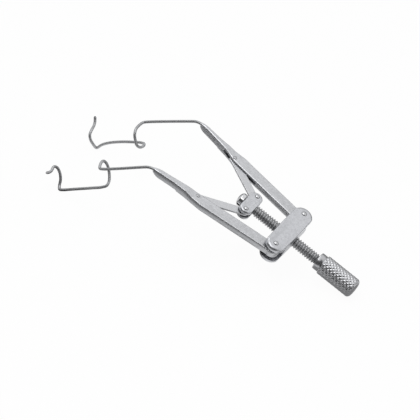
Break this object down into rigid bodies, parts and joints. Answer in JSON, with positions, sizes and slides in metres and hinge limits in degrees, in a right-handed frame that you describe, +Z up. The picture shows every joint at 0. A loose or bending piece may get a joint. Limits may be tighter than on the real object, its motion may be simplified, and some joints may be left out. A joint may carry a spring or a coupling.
{
  "type": "wire eye speculum",
  "caption": "Surgical eye speculum with bent wire blades on hinged arms, spread by links and a threaded screw turned by a knurled knob.",
  "frame": {"origin": "centre of the bounding box's bottom face, on the table that the instrument lies on with its two blade ends and the rim of its knob", "axes": "+X from the blades towards the knob, +Y across the arms towards the right one, +Z up. The mechanism's plane is tilted about Y by 17.69 degrees, knob end down."},
  "size_m": [0.0838, 0.0278, 0.0206],
  "materials": {
    "rear_yoke": "satin-brushed stainless steel, lobes rounded and polished brighter",
    "front_yoke": "satin-brushed stainless steel, lobes rounded and polished brighter",
    "left_arm": "satin-brushed stainless steel with lightly broken edges",
    "right_arm": "satin-brushed stainless steel with lightly broken edges",
    "left_link": "satin stainless steel strip",
    "right_link": "satin stainless steel strip",
    "left_wire_blade": "drawn round stainless steel wire, bead-blasted grey",
    "right_wire_blade": "drawn round stainless steel wire, bead-blasted grey",
    "left_pivot_rivet": "stainless steel, domed and polished",
    "right_pivot_rivet": "stainless steel, domed and polished",
    "left_link_rivet": "stainless steel, dressed nearly flush",
    "right_link_rivet": "stainless steel, dressed nearly flush",
    "left_front_rivet": "stainless steel, domed and polished",
    "right_front_rivet": "stainless steel, domed and polished",
    "drive_screw": "cut thread in stainless steel, dark in its roots",
    "knob": "stainless steel, turned collar and diamond-knurled grip",
    "swivel_cap": "turned and polished stainless steel"
  },
  "bodies": {
    "rear_yoke": {"rear_yoke": "rear_yoke", "left_pivot_rivet": "left_pivot_rivet", "right_pivot_rivet": "right_pivot_rivet"},
    "front_yoke": {"front_yoke": "front_yoke", "left_front_rivet": "left_front_rivet", "right_front_rivet": "right_front_rivet"},
    "screw": {"drive_screw": "drive_screw", "knob": "knob", "swivel_cap": "swivel_cap"},
    "right_arm": {"right_arm": "right_arm", "right_wire_blade": "right_wire_blade", "right_link_rivet": "right_link_rivet"},
    "left_arm": {"left_arm": "left_arm", "left_wire_blade": "left_wire_blade", "left_link_rivet": "left_link_rivet"},
    "right_link": {"right_link": "right_link"},
    "left_link": {"left_link": "left_link"}
  },
  "joints": [
    {"name": "carriage_slide", "type": "slide", "parent": "rear_yoke", "child": "front_yoke", "axis": [-0.9527, 0, 0.3038], "range_m": [-0.00147, 0.00168]},
    {"name": "screw_turn", "type": "hinge", "parent": "front_yoke", "child": "screw", "pos_m": [0.02981, 0.00063, 0.006], "axis": [-0.9527, 0, 0.3038], "range_deg": [-762, 870]},
    {"name": "right_arm_pivot", "type": "hinge", "parent": "rear_yoke", "child": "right_arm", "pos_m": [0.02028, 0.00803, 0.00904], "axis": [-0.3038, 0, -0.9527], "range_deg": [-7.05, 8.05]},
    {"name": "left_arm_pivot", "type": "hinge", "parent": "rear_yoke", "child": "left_arm", "pos_m": [0.02028, -0.00677, 0.00904], "axis": [0.3038, 0, 0.9527], "range_deg": [-7.05, 8.05]},
    {"name": "right_link_pivot", "type": "hinge", "parent": "right_arm", "child": "right_link", "pos_m": [-0.00125, 0.01028, 0.01591], "axis": [-0.3038, 0, -0.9527], "range_deg": [-7.6, 8.7]},
    {"name": "left_link_pivot", "type": "hinge", "parent": "left_arm", "child": "left_link", "pos_m": [-0.00125, -0.00902, 0.01591], "axis": [0.3038, 0, 0.9527], "range_deg": [-7.6, 8.7]}
  ],
  "couplings": [
    {"joint": "screw_turn", "follows": "carriage_slide", "rad_per_m": 8976},
    {"joint": "right_arm_pivot", "follows": "carriage_slide", "rad_per_m": 83.029},
    {"joint": "left_arm_pivot", "follows": "carriage_slide", "rad_per_m": 83.029},
    {"joint": "right_link_pivot", "follows": "carriage_slide", "rad_per_m": 89.339},
    {"joint": "left_link_pivot", "follows": "carriage_slide", "rad_per_m": 89.339}
  ]
}
